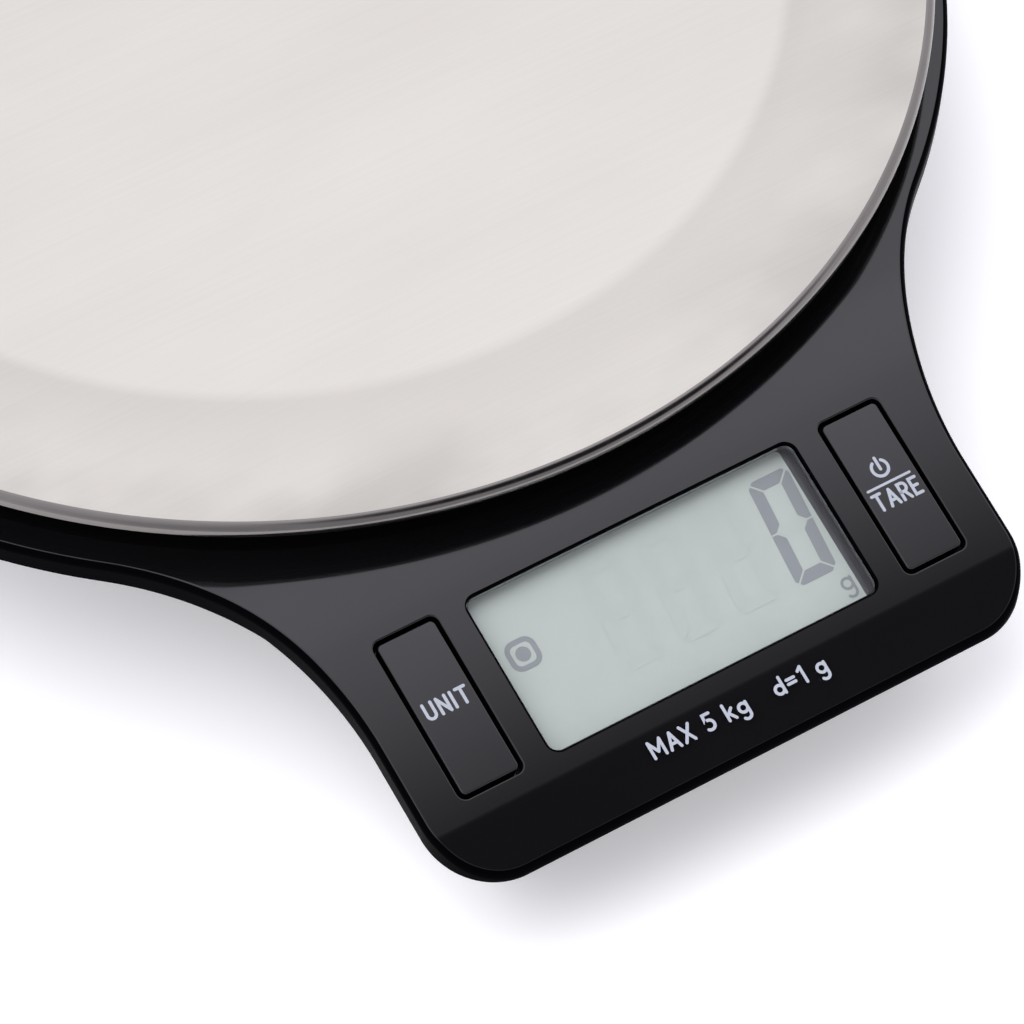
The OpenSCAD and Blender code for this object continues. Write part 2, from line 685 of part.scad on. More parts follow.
// Two wired contacts with tags through the roof, and one plate that joins the cells
module battery_plates() color(steel_zinc) from_centre() translate([0, -battery_reach, 0]) {
    for (s = [-1, 1]) translate([-box_half_l, s * box_half_w / 2, 0]) {
        translate([0, -4, floor_z + 1]) cube([plate_t, 8, battery_d - 1]);
        translate([0, -1.5, floor_z + 1]) cube([plate_t, 3, box_roof_z + box_wall + 1.8 - floor_z - 1]);
    }
    translate([box_half_l - plate_t, -box_half_w + 0.6, floor_z + 1])
        cube([plate_t, 2 * box_half_w - 1.2, battery_d - 1]);
}

module battery_wires() color("#23242a") from_centre() for (route = battery_routes)
    tube(route, 1.1, [0, 0, 1]);

platter_plate();
platter_tray();
tray_screws();
load_spider();
spider_spacer();
spider_screws();
load_cell();
gauge_seals();
gauge_wires();
base_spacer();
base_screws();
overload_stop();
upper_housing();
lower_housing();
housing_screws();
rubber_feet();
window_lens();
lens_tape();
lcd_glass();
lcd_polariser();
lcd_reflector();
lcd_frame();
zebra_strips();
main_board();
chip_cover();
board_parts();
board_screws();
unit_key();
tare_key();
switch_bodies();
unit_plunger();
tare_plunger();
battery_door();
battery_cells();
battery_springs();
battery_plates();
battery_wires();
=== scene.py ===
"""Looks of the kitchen scale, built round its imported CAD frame.

Lengths are in millimetres, in the part's own frame, and turn into metres where meshes are made.
"""
import json
import math

import bmesh
import bpy
import numpy as np
from mathutils import Matrix, Vector
from mathutils.geometry import delaunay_2d_cdt


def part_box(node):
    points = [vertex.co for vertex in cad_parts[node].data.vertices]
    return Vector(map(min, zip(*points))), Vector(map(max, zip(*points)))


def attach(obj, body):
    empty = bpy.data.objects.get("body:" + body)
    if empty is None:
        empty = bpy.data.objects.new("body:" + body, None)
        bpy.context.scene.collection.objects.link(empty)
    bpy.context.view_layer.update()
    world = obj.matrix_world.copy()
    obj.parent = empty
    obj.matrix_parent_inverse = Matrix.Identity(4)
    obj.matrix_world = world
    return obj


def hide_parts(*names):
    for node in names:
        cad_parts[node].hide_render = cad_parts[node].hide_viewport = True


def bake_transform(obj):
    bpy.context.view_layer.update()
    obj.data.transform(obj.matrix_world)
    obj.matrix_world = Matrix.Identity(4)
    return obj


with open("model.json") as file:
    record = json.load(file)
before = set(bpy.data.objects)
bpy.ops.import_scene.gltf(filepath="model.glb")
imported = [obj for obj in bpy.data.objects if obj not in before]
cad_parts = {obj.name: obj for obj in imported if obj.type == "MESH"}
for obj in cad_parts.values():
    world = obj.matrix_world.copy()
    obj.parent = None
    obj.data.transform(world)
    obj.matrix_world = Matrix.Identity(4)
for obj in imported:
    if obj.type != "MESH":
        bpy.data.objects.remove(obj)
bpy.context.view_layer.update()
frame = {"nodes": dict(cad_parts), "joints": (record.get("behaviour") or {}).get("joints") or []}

# ---------- Driving dimensions ----------

MM = 0.001


def cad_box(node):
    """Lowest and highest corner of a CAD node."""
    return [np.array(corner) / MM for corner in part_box(node)]


housing_low, housing_high = cad_box("upper_housing")
plate_high = cad_box("platter_plate")[1]
lens_low, lens_high = cad_box("window_lens")
key_axis = next(joint["axis"] for joint in frame["joints"] if joint["name"] == "unit_key_press")

# Body
BODY_R = housing_high[0]
BODY_TOP = housing_high[2]
CENTRE_Y = housing_high[1] - BODY_R
FRONT_REACH = CENTRE_Y - housing_low[1]
WALL = 2.0
RIM_H = 3.1
RIM_ROUND = 0.8
FOOT_BEVEL = 0.2
HALF_PANEL = 37.9
NECK_REACH = 96.0
CORNER_R = 8.4

# Panel: reaches are from the platter's axis to the front
PANEL_TILT = math.atan2(key_axis[1], -key_axis[2])
LIP_TILT = math.radians(30)
SLOPE_REACH = 78.3
SLOPE_SOFT = 6.0
CREASE_REACH = FRONT_REACH - 5.7
CREASE_SOFT = 1.0
PANEL_CROWN = 0.05
ROW_REACH = 17.2
HOLE_ROUND = 0.2

# Window and display
LENS_FLANGE = 2.8
LENS_FLANGE_T = 1.0
LENS_FLANGE_R = 1.3
WINDOW_W = lens_high[0] - lens_low[0] - LENS_FLANGE
WINDOW_L = 19.8
WINDOW_R = 1.4
LENS_SEAT = 1.0
LENS_GAP = 0.15
LENS_SINK = 0.2
LENS_FOOT = 2.15
LENS_SOFT = 0.15
SEAT_MARGIN = 1.6
SEAT_R = 1.5
POLARISER_DEPTH = 2.3

# Keys: a hole is its width, its length and its corners' radius
KEY_X = 28.6
KEY_HOLE = (8.1, 20.0, 1.0)
KEY_GAP = 0.5
KEY_R = 0.6
KEY_SOFT = 0.18
FLANGE_DEPTH = 2.3
FLANGE_T = 0.9
FLANGE_W = KEY_HOLE[0] + 1.3
FLANGE_L = KEY_HOLE[1] + 1.0
STEM_DEPTH = 4.0
STEM_R = 1.6

# Inside of the upper housing: columns and boss holes are placed from the platter's axis
COLUMN_PLACES = [(0, 58), (55, 18), (-55, 18), (24, -65.5), (-24, -65.5)]
COLUMN_R = 3.5
COLUMN_HOLE_R = 1.45
COLUMN_FOOT = 14.0
BOSS_HOLE_OFF = 22.63
BOSS_HOLE_PLACES = [(x * BOSS_HOLE_OFF, y * BOSS_HOLE_OFF) for x in (-1, 1) for y in (-1, 1)]
BOSS_HOLE_R = 6.0
ROOT = 0.5

# The board's posts and hooks, placed from the start of the slope
POST_PLACES = [(x, -1.8) for x in (-22, 0, 22)]
POST_R = 2.3
POST_HOLE_R = 0.95
BOARD_DEPTH = 8.0
HOOK_XS = (-13, 13)
HOOK_W = 4.0
HOOK_R = 0.2
HOOK_ROOT = 0.3
HOOK_FOOT = 9.95
ARM_Y = -30.85
ARM_L = 1.3
TOE_Y = -30.3
TOE_L = 2.4
TOE_T = 0.7

# The keys' guides
GUIDE_X = KEY_X + 5.5
GUIDE_SIZE = (0.7, 12.0, 0.2)

# Platter
PLATE_R = plate_high[0]
PLATE_TOP = plate_high[2]
PLATE_T = 0.7
PLATE_RIM = 1.6
BEND_R = 1.1
CROWN_H = 0.3
CROWN_R = 63.3
CROWN_RUN = 8.0

# ---------- Surfaces ----------


class Plane:
    """Flat place to draw on: X runs along it to the right, Y up it, and lift stands off it."""

    def __init__(self, origin, tilt):
        self.origin = np.array(origin, float)
        self.x = np.array([1.0, 0, 0])
        self.y = np.array([0, math.cos(tilt), math.sin(tilt)])
        self.z = np.array([0, -math.sin(tilt), math.cos(tilt)])

    def at(self, flat, lift):
        """Points on the plane, lifted off it."""
        return self.origin + self.way(flat, lift)

    def way(self, flat, up):
        """Directions along the plane, with a part that stands off it."""
        flat = np.asarray(flat, float)
        return flat[:, :1] * self.x + flat[:, 1:2] * self.y + up * self.z

    def normals(self, points):
        """The plane's own normal, once for each point."""
        return np.tile(self.z, (len(points), 1))


LEVEL = Plane((0, CENTRE_Y, 0), 0)
SLOPE_START = np.array([0, CENTRE_Y - SLOPE_REACH, BODY_TOP])
PANEL = Plane(SLOPE_START, PANEL_TILT)
ROW = Plane(SLOPE_START - ROW_REACH * PANEL.y, PANEL_TILT)


def bend(t, soft):
    """0 before t = 0 and t after it, with a parabola over soft to either side."""
    return np.where(t < soft, np.maximum(t + soft, 0) ** 2 / (4 * soft), t)


def top_height(y):
    """Height of the top surface: level, then the panel's slope, then the steeper lip."""
    out = CENTRE_Y - y
    lip = bend(out - CREASE_REACH, CREASE_SOFT)
    panel = bend(out - SLOPE_REACH, SLOPE_SOFT) - lip
    return BODY_TOP - math.tan(PANEL_TILT) * panel - math.tan(LIP_TILT) * lip


def top_normals(y):
    """Normals of the top surface, the panel's with a faint crown."""
    reaches = (SLOPE_REACH - SLOPE_SOFT, SLOPE_REACH + SLOPE_SOFT,
               CREASE_REACH - CREASE_SOFT, CREASE_REACH + CREASE_SOFT)
    panel = math.tan(PANEL_TILT)
    slopes = (0, panel - PANEL_CROWN, panel + PANEL_CROWN, math.tan(LIP_TILT))
    slope = np.interp(CENTRE_Y - y, reaches, slopes)
    normals = np.stack([np.zeros_like(slope), -slope, np.ones_like(slope)], 1)
    return normals / np.linalg.norm(normals, axis=1, keepdims=True)


def parting_height(y):
    """Height of the upper housing's lower edge."""
    return BODY_TOP - RIM_H - np.maximum(0, CENTRE_Y - y - SLOPE_REACH) * math.tan(PANEL_TILT)


# ---------- Outlines ----------


def arc(x, y, r, start, end, step=1.0):
    """Points and outward normals along an arc, with angles in degrees."""
    count = max(1, round(abs(end - start) / step))
    angles = np.radians(np.linspace(start, end, count + 1))
    normals = np.stack([np.cos(angles), np.sin(angles)], 1)
    return np.array([x, y]) + r * normals, normals


def circle(r, x=0.0, y=0.0, step=10.0):
    """Circle, clockwise, and its outward normals."""
    points, normals = arc(x, y, r, 360, 0, step)
    return points[:-1], normals[:-1]


def round_box(w, l, r, x=0.0, y=0.0, step=9.0):
    """Rounded rectangle, clockwise, and its outward normals."""
    corners = [arc(x + sx * (w / 2 - r), y + sy * (l / 2 - r), r, start, start - 90, step)
               for sx, sy, start in ((1, 1, 90), (1, -1, 0), (-1, -1, -90), (-1, 1, -180))]
    return tuple(np.concatenate(part) for part in zip(*corners))


def body_outline():
    """Outline of the body's top, clockwise from the back, and its outward normals."""
    neck_r = (HALF_PANEL**2 + NECK_REACH**2 - BODY_R**2) / (2 * (BODY_R - HALF_PANEL))
    meet = math.degrees(math.atan2(-NECK_REACH, HALF_PANEL + neck_r))
    disc = arc(0, 0, BODY_R, 90, meet)
    neck = arc(HALF_PANEL + neck_r, -NECK_REACH, neck_r, meet + 180, 180)
    corner = arc(HALF_PANEL - CORNER_R, CORNER_R - FRONT_REACH, CORNER_R, 0, -90)
    points = np.concatenate([disc[0], neck[0][1:], corner[0]])
    normals = np.concatenate([disc[1], -neck[1][1:], corner[1]])
    mirror = np.array([-1, 1])
    points = np.concatenate([points, points[:0:-1] * mirror])
    normals = np.concatenate([normals, normals[:0:-1] * mirror])
    return points + np.array([0, CENTRE_Y]), normals


def quarter(steps):
    """Sines and cosines of angles from 0 to 90 degrees."""
    angles = np.linspace(0, math.pi / 2, steps + 1)
    return list(zip(np.sin(angles), np.cos(angles)))


# ---------- Meshes ----------


class Skin:
    """Faces with a normal at each point, so that curves shade smoothly and edges stay crisp."""

    def __init__(self):
        self.points = []
        self.normals = []
        self.faces = []
        self.paints = []
        self.paint = 0

    def ring(self, points, normals):
        """Adds points and their normals, and returns the points' numbers."""
        start = len(self.points)
        self.points.extend(map(tuple, points))
        self.normals.extend(map(tuple, normals))
        return list(range(start, len(self.points)))

    def face(self, corners):
        """Adds a face, turned the way that its points' normals say."""
        a, b, c = (np.array(self.points[i]) for i in (corners[0], corners[len(corners) // 3], corners[-1]))
        out = sum(np.array(self.normals[i]) for i in corners)
        self.faces.append(corners if np.cross(b - a, c - a) @ out > 0 else corners[::-1])
        self.paints.append(self.paint)

    def loft(self, rings, closed=True):
        """Joins rings of equally many points, each a pair of points and normals."""
        numbers = [self.ring(*ring) for ring in rings]
        count = len(numbers[0])
        for low, high in zip(numbers, numbers[1:]):
            for i in range(count if closed else count - 1):
                j = (i + 1) % count
                self.face([low[i], low[j], high[j], high[i]])

    def fill(self, points, normals):
        """Closes a convex ring with one face."""
        self.face(self.ring(points, normals))

    def wall(self, plane, shape, start, end, facing=1):
        """Wall along an outline from one lift off a plane to another, facing out, or in with -1."""
        points, sides = shape
        normals = facing * plane.way(sides, 0)
        self.loft([(plane.at(points, start), normals), (plane.at(points, end), normals)])

    def ledge(self, plane, start, end, lift, facing):
        """Flat ring from one outline to another, facing up with 1 and down with -1."""
        normals = facing * plane.normals(start)
        self.loft([(plane.at(start, lift), normals), (plane.at(end, lift), normals)])

    def lid(self, plane, shape, lift, soft, up):
        """Top of a plate, its edge rounded by soft."""
        points, sides = shape
        self.fill(plane.at(points - soft * sides, lift), up)
        if soft:
            self.loft([(plane.at(points - soft * (1 - s) * sides, lift - soft * (1 - c)),
                        plane.way(s * sides, 0) + c * up) for s, c in quarter(3)])

    def slab(self, plane, shape, top, bottom, soft=0.0, side_paint=0, crowned=False):
        """Plate between two lifts off a plane; crowned gives its top the top surface's normals."""
        points = shape[0]
        flat = plane.normals(points)
        self.lid(plane, shape, top, soft, top_normals(plane.at(points, top)[:, 1]) if crowned else flat)
        self.paint = side_paint
        self.wall(plane, shape, top - soft, bottom)
        self.paint = 0
        self.fill(plane.at(points, bottom), -flat)

    def post(self, plane, place, r, hole_r, bottom, top, hole_top):
        """Screw post that hangs down from top, with a blind hole from below."""
        round_post = circle(r, *place, step=15)
        hole = circle(hole_r, *place, step=15)
        self.wall(plane, round_post, top, bottom)
        self.ledge(plane, round_post[0], hole[0], bottom, -1)
        self.wall(plane, hole, bottom, hole_top, -1)
        self.fill(plane.at(hole[0], hole_top), -plane.normals(hole[0]))

    def piece(self, name, body, finishes, slot=None):
        """Turns the skin into an object that rides on a CAD body."""
        mesh = bpy.data.meshes.new(name)
        mesh.from_pydata([Vector(p) * MM for p in self.points], [], self.faces)
        mesh.polygons.foreach_set("use_smooth", [True] * len(mesh.polygons))
        mesh.polygons.foreach_set("material_index", self.paints)
        for finish in finishes:
            mesh.materials.append(finish)
        mesh.normals_split_custom_set_from_vertices([Vector(n).normalized() for n in self.normals])
        thing = bpy.data.objects.new(name, mesh)
        bpy.context.scene.collection.objects.link(thing)
        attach(thing, body)
        return thing


def triangulate(outline, holes, lines):
    """Triangles between an outline and the convex holes in it, with lines kept as edges."""
    rings = [outline, *holes]
    plan = [Vector(p) for ring in rings for p in ring]
    edges = list(lines)
    start = 0
    for ring in rings:
        edges += [(start + i, start + (i + 1) % len(ring)) for i in range(len(ring))]
        start += len(ring)
    faces, origins = delaunay_2d_cdt(plan, edges, [], 1, 1e-7)[2:4]
    spans = np.cumsum([len(ring) for ring in rings])

    def in_hole(face):
        """Whether all the corners belong to one and the same hole."""
        owners = {int(np.searchsorted(spans, i, side="right")) for i in face}
        return owners != {0} and len(owners) == 1

    numbers = [[origins[i][0] for i in face] for face in faces]
    return [face for face in numbers if not in_hole(face)]


# ---------- Materials ----------


def srgb(r, g, b):
    """Linear colour of screen values from 0 to 255."""
    return tuple((c / 255 / 12.92) if c <= 10 else ((c / 255 + 0.055) / 1.055) ** 2.4 for c in (r, g, b))


class Finish:
    """A procedural material: one shader, with noise patterns that drive its sockets."""

    def __init__(self, name, colour, rough, metal=0.0, **sockets):
        self.material = bpy.data.materials.new(name)
        self.material.use_nodes = True
        self.tree = self.material.node_tree
        self.nodes = self.tree.nodes
        self.shader = self.nodes["Principled BSDF"]
        self.colour = colour
        self.place = self.nodes.new("ShaderNodeTexCoord").outputs["Object"]
        self.set("Base Color", (*colour, 1))
        self.set("Roughness", rough)
        self.set("Metallic", metal)
        for socket, value in sockets.items():
            self.set(socket.replace("_", " "), value)

    def set(self, socket, value):
        self.shader.inputs[socket].default_value = value

    def link(self, source, target):
        self.tree.links.new(source, target)

    def noise(self, size, detail=2.0, roughness=0.5):
        """Noise whose patches are about size millimetres: one number, or one for each of X, Y and Z."""
        sizes = size if isinstance(size, tuple) else (size,) * 3
        mapping = self.nodes.new("ShaderNodeMapping")
        mapping.inputs["Scale"].default_value = [1 / (s * MM) for s in sizes]
        self.link(self.place, mapping.inputs["Vector"])
        noise = self.nodes.new("ShaderNodeTexNoise")
        noise.inputs["Scale"].default_value = 1.0
        noise.inputs["Detail"].default_value = detail
        noise.inputs["Roughness"].default_value = roughness
        self.link(mapping.outputs["Vector"], noise.inputs["Vector"])
        return noise.outputs["Fac"]

    def scaled(self, source, low, high, near=0.3, far=0.7):
        """Maps a pattern's near to far onto low to high."""
        node = self.nodes.new("ShaderNodeMapRange")
        for socket, value in zip(("From Min", "From Max", "To Min", "To Max"), (near, far, low, high)):
            node.inputs[socket].default_value = value
        self.link(source, node.inputs["Value"])
        return node.outputs["Result"]

    def radius(self):
        """Distance from the platter's axis in millimetres."""
        mapping = self.nodes.new("ShaderNodeMapping")
        mapping.inputs["Scale"].default_value = (1 / MM, 1 / MM, 0)
        mapping.inputs["Location"].default_value = (0, -CENTRE_Y, 0)
        self.link(self.place, mapping.inputs["Vector"])
        length = self.nodes.new("ShaderNodeVectorMath")
        length.operation = "LENGTH"
        self.link(mapping.outputs["Vector"], length.inputs[0])
        return length.outputs["Value"]

    def join(self, operation, *patterns):
        """Adds or multiplies all the patterns."""
        total = patterns[0]
        for pattern in patterns[1:]:
            node = self.nodes.new("ShaderNodeMath")
            node.operation = operation
            self.link(total, node.inputs[0])
            self.link(pattern, node.inputs[1])
            total = node.outputs["Value"]
        return total

    def tint(self, pattern, other):
        """Colour that goes from other to the finish's own with the pattern."""
        mix = self.nodes.new("ShaderNodeMix")
        mix.data_type = "RGBA"
        mix.inputs["A"].default_value = (*other, 1)
        mix.inputs["B"].default_value = (*self.colour, 1)
        self.link(pattern, mix.inputs["Factor"])
        self.link(mix.outputs["Result"], self.shader.inputs["Base Color"])

    def rough(self, pattern):
        """Roughness that follows a pattern."""
        self.link(pattern, self.shader.inputs["Roughness"])

    def bump(self, pattern, height):
        """Bumps height millimetres deep."""
        node = self.nodes.new("ShaderNodeBump")
        node.inputs["Distance"].default_value = height * MM
        self.link(pattern, node.inputs["Height"])
        self.link(node.outputs["Normal"], self.shader.inputs["Normal"])


def brushed_steel():
    """Stainless sheet with a straight brush along X."""
    steel = Finish("platter_steel", (0.574, 0.561, 0.504), 0.3, 1.0, Anisotropic=0.5)
    fine = steel.noise((9, 0.14, 5), 2)
    hairlines = steel.noise((34, 0.5, 5), 2)
    bands = steel.noise((60, 2.6, 5), 2)
    clouds = steel.noise((50, 26, 5), 3)
    stains = steel.noise((34, 20, 5), 3)
    streaks = steel.join("ADD", fine, hairlines, bands)
    radius = steel.radius()
    # Painted shade in a narrow band where the raised middle ends, painted light that grows over the outer
    # ring past it, and darker random patches near the rim
    crown_foot_painted_shade = steel.scaled(radius, 0, -0.24, CROWN_R - 0.8, CROWN_R + 0.8)
    outer_ring_painted_light = steel.scaled(radius, 0, 0.13, CROWN_R + 2, CROWN_R + 9)
    near_rim = steel.scaled(radius, 0, 1, CROWN_R + 3, PLATE_R)
    rim_blotches = steel.join("MULTIPLY", near_rim, steel.scaled(stains, 0.0, -0.45, 0.45, 0.62))
    grain = steel.scaled(streaks, 0.78, 0.9, 1.1, 1.9)
    cloudy = steel.scaled(clouds, -0.06, 0.06)
    steel.tint(steel.join("ADD", grain, cloudy, crown_foot_painted_shade, outer_ring_painted_light, rim_blotches), (0.319, 0.307, 0.272))
    steel.rough(steel.scaled(streaks, 0.28, 0.34, 1.1, 1.9))
    steel.bump(steel.join("ADD", fine, hairlines), 0.0004)
    across = steel.nodes.new("ShaderNodeTangent")
    across.direction_type = "RADIAL"
    across.axis = "X"
    steel.link(across.outputs["Tangent"], steel.shader.inputs["Tangent"])
    return steel.material


def polished(name, colour, rough):
    """Bright edge with hardly any grain."""
    edge = Finish(name, colour, rough, 1.0)
    edge.tint(edge.scaled(edge.noise(9, 3), 0, 1), tuple(0.9 * c for c in colour))
    edge.rough(edge.scaled(edge.noise(2, 2), rough * 0.8, rough * 1.3))
    return edge.material


def plastic(name, colour, rough, patch=14, grain=2.5, depth=0.0006, **sockets):
    """Moulding whose sheen varies over patches, with grain of a size and depth."""
    shell = Finish(name, colour, rough, **sockets)
    shell.tint(shell.scaled(shell.noise(40, 3), 0, 1), tuple(0.78 * c for c in colour))
    shell.rough(shell.scaled(shell.noise(patch, 4), rough * 0.8, rough * 1.25))
    shell.bump(shell.noise(grain, 2), depth)
    return shell.material


def metal(name, colour, rough, grain, stains, depth=0.004):
    """Plated, milled or pressed metal, its grain and stains about so many millimetres."""
    plated = Finish(name, colour, rough, 1.0)
    plated.tint(plated.scaled(plated.noise(stains, 4), 0, 1), tuple(0.72 * c for c in colour))
    plated.rough(plated.scaled(plated.noise(grain, 3), rough - 0.08, rough + 0.12))
    plated.bump(plated.noise(grain, 3), depth)
    return plated.material


def plain(name, colour, rough, size, depth, contrast=0.8, **sockets):
    """Rubber, resin, film or ink, with patches of about size millimetres."""
    finish = Finish(name, colour, rough, **sockets)
    finish.tint(finish.scaled(finish.noise(size * 4, 3), 0, 1), tuple(contrast * c for c in colour))
    finish.rough(finish.scaled(finish.noise(size, 2), rough - 0.05, rough + 0.06))
    finish.bump(finish.noise(size, 2), depth)
    return finish.material


def clear_window():
    """Clear acrylic: what is behind it, under a gloss that grows towards the edge of sight."""
    lens = Finish("clear_lens", (0.0, 0.0, 0.0), 0.05)
    through = lens.nodes.new("ShaderNodeBsdfTransparent")
    through.inputs["Color"].default_value = (0.99, 1.0, 0.995, 1)
    gloss = lens.nodes.new("ShaderNodeBsdfGlossy")
    lens.link(lens.scaled(lens.noise(9, 3), 0.03, 0.07), gloss.inputs["Roughness"])
    facing = lens.nodes.new("ShaderNodeLayerWeight")
    growth = lens.nodes.new("ShaderNodeMath")
    growth.operation = "POWER"
    growth.inputs[1].default_value = 5
    lens.link(facing.outputs["Facing"], growth.inputs[0])
    mix = lens.nodes.new("ShaderNodeMixShader")
    lens.link(lens.scaled(growth.outputs["Value"], 0.03, 0.8, 0, 1), mix.inputs["Fac"])
    lens.link(through.outputs["BSDF"], mix.inputs[1])
    lens.link(gloss.outputs["BSDF"], mix.inputs[2])
    lens.link(mix.outputs["Shader"], lens.nodes["Material Output"].inputs["Surface"])
    return lens.material


STEEL = brushed_steel()
# The rim's steel is a much darker copy of the platter's: painted shade for the dark surroundings that the
# turned edge mirrors
RIM_STEEL_PAINTED_SHADE = polished("rim_steel_painted_shade", (0.19, 0.18, 0.17), 0.16)
GLOSS = plastic("black_gloss", (0.0048, 0.0047, 0.0053), 0.08, IOR=1.52)
# A lighter copy of the black gloss for the keys: painted light for the brighter reflection on their tops
KEY_GLOSS_PAINTED_LIGHT = plastic("key_gloss_painted_light", (0.017, 0.0163, 0.0175), 0.14, IOR=1.52)
# A darker copy of the black gloss with hardly any sheen, for sides, walls and gaps: painted shade that keeps
# them black
SIDE_PAINTED_SHADE = plastic("black_side_painted_shade", (0.001, 0.001, 0.0014), 0.36, Specular_IOR_Level=0.006)
SATIN = plastic("black_satin", (0.007, 0.007, 0.008), 0.34, 30, 0.25, 0.006, Specular_IOR_Level=0.25)
LEGEND = plain("legend_ink", srgb(172, 178, 188), 0.5, 0.4, 0.002, 0.92)
DISPLAY = plain("display_film", (0.442, 0.479, 0.451), 0.42, 1.2, 0.0015, 0.97)
SEGMENT = plain("display_ink", (0.235, 0.247, 0.265), 0.5, 0.8, 0.001, 0.96)
GHOST = plain("display_ghost", (0.432, 0.468, 0.442), 0.5, 0.8, 0.001, 0.98)
MASK = plain("display_mask", srgb(62, 62, 66), 0.4, 0.5, 0.002, 0.8)
LENS = clear_window()
LENS_EDGE = polished("lens_edge", (0.5, 0.53, 0.54), 0.15)

# ---------- Upper housing ----------


def upper_housing():
    """Top shell with the panel's openings, and all that hangs from its underside."""
    skin = Skin()
    outline, out = body_outline()
    level_out = LEVEL.way(out, 0)
    # The wall is measured upright, so it is thinner square to the panel
    under = WALL * math.cos(PANEL_TILT)
    window = round_box(WINDOW_W, WINDOW_L, WINDOW_R)
    key_holes = [round_box(*KEY_HOLE, x=x) for x in (-KEY_X, KEY_X)]
    seat = round_box(WINDOW_W + 2 * SEAT_MARGIN, WINDOW_L + 2 * SEAT_MARGIN, SEAT_R)
    boss_holes = [circle(BOSS_HOLE_R, *place) for place in BOSS_HOLE_PLACES]

    def rim(inset, height):
        """Ring round the body, and the top surface's normals at it."""
        plan = outline - inset * out
        return np.column_stack([plan, height(plan[:, 1])]), top_normals(plan[:, 1])

    def cover(edge, mouths, facing):
        """Top surface or underside, from the ring at its edge to the openings' rings."""
        count = len(edge)
        bends = ((SLOPE_REACH, SLOPE_SOFT), (CREASE_REACH, CREASE_SOFT))
        spans = [(mouth[:, 1].min() - 0.1, mouth[:, 1].max() + 0.1) for mouth in mouths]

        def in_open_bend(y):
            """Whether a line across the body at y lies in a bend and clear of the openings."""
            in_bend = any(abs(CENTRE_Y - y - reach) <= soft + 1 for reach, soft in bends)
            return in_bend and not any(low < y < high for low, high in spans)

        lines = [(i, count - i) for i in range(1, count // 2) if in_open_bend(edge[i][1])]
        triangles = triangulate(edge[:, :2], [mouth[:, :2] for mouth in mouths], lines)
        solid = np.concatenate([edge, *mouths])
        start = skin.ring(solid, facing * top_normals(solid[:, 1]))[0]
        for triangle in triangles:
            skin.face([start + i for i in triangle])

    def opening(plane, shape, top, bottom, paint=0):
        """Edge and wall of an opening."""
        points, sides = shape
        up = top_normals(plane.at(points, top)[:, 1])
        skin.paint = paint
        skin.loft([(plane.at(points + HOLE_ROUND * (1 - s) * sides, top - HOLE_ROUND * (1 - c)),
                    c * up - s * plane.way(sides, 0)) for s, c in quarter(3)])
        # The opening's wall takes the darker side copy, painted shade
        skin.paint = 1
        skin.wall(plane, shape, top - HOLE_ROUND, bottom, -1)
        skin.paint = 0

    mouths = [ROW.at(points + HOLE_ROUND * sides, 0) for points, sides in (window, *key_holes)]
    mouths += [LEVEL.at(points + HOLE_ROUND * sides, BODY_TOP) for points, sides in boss_holes]
    cover(rim(RIM_ROUND, top_height)[0], mouths, 1)
    # The window's edge round takes the darker side copy too: a painted dark line of shade round the window
    opening(ROW, window, 0, -LENS_SEAT, paint=1)
    for hole in key_holes:
        opening(ROW, hole, 0, -under)
    for hole in boss_holes:
        opening(LEVEL, hole, BODY_TOP, BODY_TOP - WALL)

    # Rim: a round, gloss at its top only, then the side down to the parting surface in a darker, duller copy
    # of the plastic, painted shade
    rings = []
    for s, c in quarter(6):
        ring, up = rim(RIM_ROUND * (1 - s), top_height)
        ring[:, 2] -= RIM_ROUND * (1 - c)
        rings.append((ring, c * up + s * level_out))
    skin.loft(rings[:2])
    skin.paint = 1
    skin.loft(rings[1:])
    foot, up = rim(FOOT_BEVEL, parting_height)
    side = rim(0, parting_height)[0] + np.array([0, 0, FOOT_BEVEL])
    inner = rim(WALL, parting_height)[0]
    skin.loft([rings[-1], (side, level_out)])
    skin.loft([(side, level_out), (foot, -up)])
    skin.loft([(foot, -up), (inner, -up)])
    ceiling = inner.copy()
    ceiling[:, 2] = np.maximum(top_height(inner[:, 1]) - WALL, inner[:, 2] + 0.1)
    skin.loft([(inner, -level_out), (ceiling, -level_out)])

    # Underside, with the window's seat, the screw posts, the board's hooks and the keys' guides
    mouths = [ROW.at(points, -under) for points, _ in (seat, *key_holes)]
    mouths += [LEVEL.at(points, BODY_TOP - WALL) for points, _ in boss_holes]
    cover(ceiling, mouths, -1)
    skin.ledge(ROW, window[0], seat[0], -LENS_SEAT, -1)
    skin.wall(ROW, seat, -LENS_SEAT, -under, -1)
    ceiling_z = BODY_TOP - WALL
    for place in COLUMN_PLACES:
        skin.post(LEVEL, place, COLUMN_R, COLUMN_HOLE_R, COLUMN_FOOT, ceiling_z + ROOT, ceiling_z - 1)
    for place in POST_PLACES:
        skin.post(PANEL, place, POST_R, POST_HOLE_R, -BOARD_DEPTH, -WALL + ROOT, -WALL)
    for x in HOOK_XS:
        skin.slab(PANEL, round_box(HOOK_W, ARM_L, HOOK_R, x, ARM_Y), -WALL + HOOK_ROOT, -HOOK_FOOT)
        skin.slab(PANEL, round_box(HOOK_W, TOE_L, HOOK_R, x, TOE_Y), TOE_T - HOOK_FOOT, -HOOK_FOOT)
    for x in (-GUIDE_X, GUIDE_X):
        skin.slab(ROW, round_box(*GUIDE_SIZE, x), -WALL + ROOT, -STEM_DEPTH)
    piece = skin.piece("upper_housing_shell", "body", [GLOSS, SIDE_PAINTED_SHADE], "black_gloss")
    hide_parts("upper_housing")


upper_housing()

# ---------- Platter ----------


